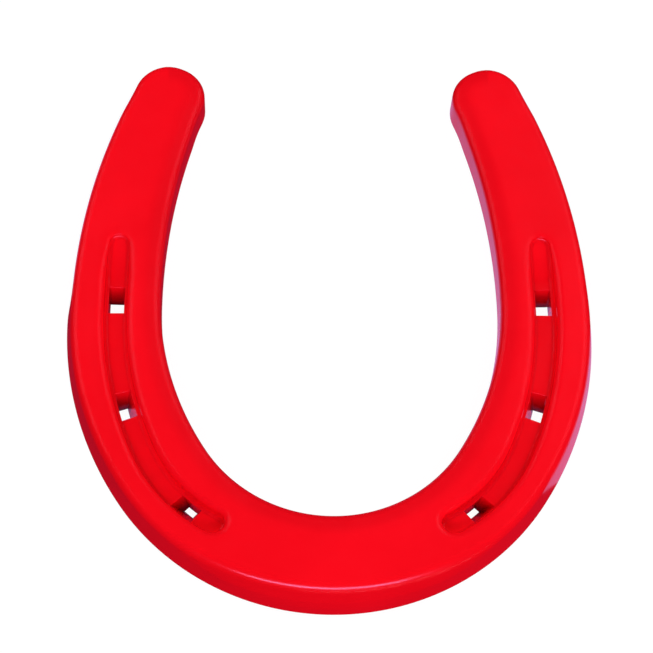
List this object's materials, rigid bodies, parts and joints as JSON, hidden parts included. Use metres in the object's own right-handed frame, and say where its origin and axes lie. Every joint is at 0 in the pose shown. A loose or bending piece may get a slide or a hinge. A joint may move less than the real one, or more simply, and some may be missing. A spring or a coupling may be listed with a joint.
{
  "type": "horseshoe",
  "caption": "U-shaped flat shoe with a bevelled toe, rounded heels, a crease along each branch with tapered square nail holes, under a red glossy coat.",
  "frame": {"origin": "centre of the bounding box on the hoof face", "axes": "+Z from the hoof face to the creased ground face, -Y to the toe, +Y to the heels, X across the branches"},
  "size_m": [0.112, 0.124, 0.0083],
  "materials": {
    "bar_steel": "hot-formed mild steel bar with a dark scale skin, all of it under the coat",
    "red_powder": "glossy bright red polyester powder coat"
  },
  "bodies": {
    "root": {"steel_bar": "bar_steel", "powder_coat": "red_powder"}
  },
  "joints": []
}
